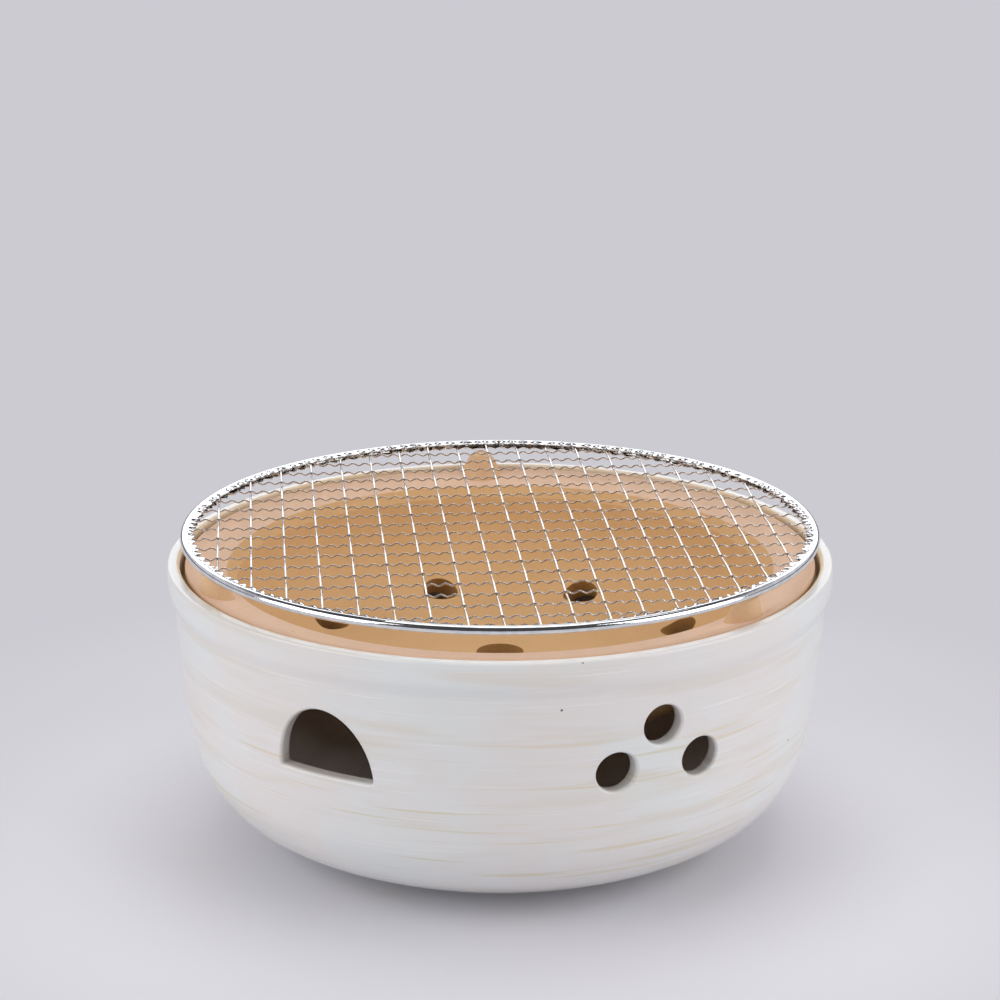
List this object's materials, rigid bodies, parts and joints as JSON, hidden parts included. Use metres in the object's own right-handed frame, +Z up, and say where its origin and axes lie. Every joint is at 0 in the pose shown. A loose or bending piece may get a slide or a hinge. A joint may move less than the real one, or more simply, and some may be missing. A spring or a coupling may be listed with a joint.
{
  "type": "tabletop charcoal grill",
  "caption": "Round pottery charcoal grill for the table: glazed water bowl with side vents, clay fire bowl with air holes, and a lift-off wire net.",
  "frame": {"origin": "on the table, on the upright axis of the outer bowl, at the underside of its foot ring", "axes": "+Z up, along the axis of the bowls; -Y towards the viewer of the picture; +X to the right of that view"},
  "size_m": [0.25, 0.25, 0.1193],
  "materials": {
    "glazed_stoneware": "glossy",
    "fired_clay": "matte",
    "chromed_steel": "polished"
  },
  "bodies": {
    "outer_bowl": {"outer_bowl": "glazed_stoneware"},
    "fire_bowl": {"fire_bowl": "fired_clay"},
    "net": {"net_rim_band": "chromed_steel", "net_core_wire": "chromed_steel", "net_straight_wire_01": "chromed_steel", "net_straight_wire_02": "chromed_steel", "net_straight_wire_03": "chromed_steel", "net_straight_wire_04": "chromed_steel", "net_straight_wire_05": "chromed_steel", "net_straight_wire_06": "chromed_steel", "net_straight_wire_07": "chromed_steel", "net_straight_wire_08": "chromed_steel", "net_straight_wire_09": "chromed_steel", "net_straight_wire_10": "chromed_steel", "net_straight_wire_11": "chromed_steel", "net_straight_wire_12": "chromed_steel", "net_straight_wire_13": "chromed_steel", "net_straight_wire_14": "chromed_steel", "net_straight_wire_15": "chromed_steel", "net_straight_wire_16": "chromed_steel", "net_straight_wire_17": "chromed_steel", "net_straight_wire_18": "chromed_steel", "net_crimped_wire_01": "chromed_steel", "net_crimped_wire_02": "chromed_steel", "net_crimped_wire_03": "chromed_steel", "net_crimped_wire_04": "chromed_steel", "net_crimped_wire_05": "chromed_steel", "net_crimped_wire_06": "chromed_steel", "net_crimped_wire_07": "chromed_steel", "net_crimped_wire_08": "chromed_steel", "net_crimped_wire_09": "chromed_steel", "net_crimped_wire_10": "chromed_steel", "net_crimped_wire_11": "chromed_steel", "net_crimped_wire_12": "chromed_steel", "net_crimped_wire_13": "chromed_steel", "net_crimped_wire_14": "chromed_steel", "net_crimped_wire_15": "chromed_steel", "net_crimped_wire_16": "chromed_steel", "net_crimped_wire_17": "chromed_steel", "net_crimped_wire_18": "chromed_steel"}
  },
  "joints": [
    {"name": "fire_bowl_lift", "type": "slide", "parent": "outer_bowl", "child": "fire_bowl", "axis": [0, 0, 1], "range_m": [0, 0.125]},
    {"name": "net_lift", "type": "slide", "parent": "fire_bowl", "child": "net", "axis": [0, 0, 1], "range_m": [0, 0.045]}
  ]
}
